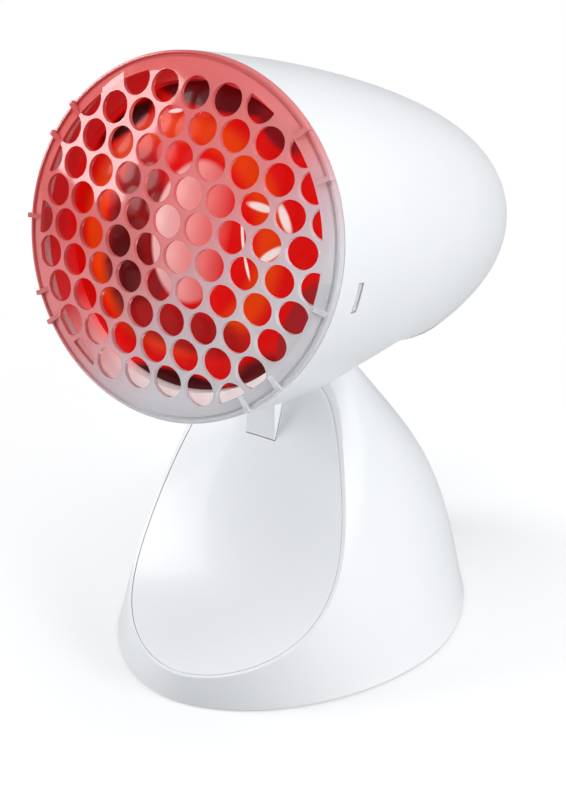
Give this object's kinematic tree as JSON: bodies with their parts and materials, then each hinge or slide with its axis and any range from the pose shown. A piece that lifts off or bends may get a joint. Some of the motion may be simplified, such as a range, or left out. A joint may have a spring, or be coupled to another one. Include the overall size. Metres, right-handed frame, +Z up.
{
  "type": "infrared heat lamp",
  "caption": "Table infrared heat lamp: a bullet-shaped tilting head with a red reflector bulb behind a perforated guard, on a bell-shaped base.",
  "frame": {"origin": "on the table under the centre of the lamp's box, at its middle tilt", "axes": "+Z up, -Y towards the front that the guard faces, +X to the viewer's right when the viewer looks at the front; the lamp is longest along Z"},
  "size_m": [0.1468, 0.2444, 0.2766],
  "materials": {
    "white_shell": "gloss",
    "white_inner": "satin",
    "grey_plastic": "satin",
    "black_plastic": "satin",
    "black_rubber": "matte",
    "steel": "satin",
    "brass": "satin",
    "clear_grille": "gloss",
    "red_glass": "gloss",
    "mirrored_glass": "gloss",
    "stem_glass": "gloss",
    "filament_wire": "satin",
    "holder_body": "satin"
  },
  "bodies": {
    "base": {"base_shell": "white_shell", "front_panel": "white_shell", "base_plate": "grey_plastic", "rubber_pads": "black_rubber", "base_screws": "steel", "hinge_bolt": "steel", "hinge_nut": "steel", "friction_washers": "black_rubber", "spring_washer": "steel", "detent_spring": "steel", "terminal_block": "white_inner", "cable_inlet": "black_rubber", "cable_clamp": "grey_plastic", "switch_housing": "black_plastic"},
    "head": {"head_shell": "white_shell", "guard_grille": "clear_grille", "inner_collar": "white_inner", "neck_bracket": "grey_plastic", "neck_screws": "steel", "bulb_lens": "red_glass", "bulb_reflector": "mirrored_glass", "bulb_cap": "brass", "bulb_contact": "steel", "filament": "filament_wire", "filament_stem": "stem_glass", "lamp_holder": "holder_body", "holder_sleeve": "brass", "holder_contact": "brass", "holder_strap": "steel", "strap_screws": "steel"},
    "rocker": {"switch_rocker": "black_plastic"}
  },
  "joints": [
    {"name": "head_tilt", "type": "hinge", "parent": "base", "child": "head", "pos_m": [0, -0.01984, 0.124], "axis": [1, 0, 0], "range_deg": [-15, 15]},
    {"name": "rocker_switch", "type": "hinge", "parent": "base", "child": "rocker", "pos_m": [0, 0.05844, 0.04472], "axis": [1, 0, 0], "range_deg": [0, 18]}
  ]
}
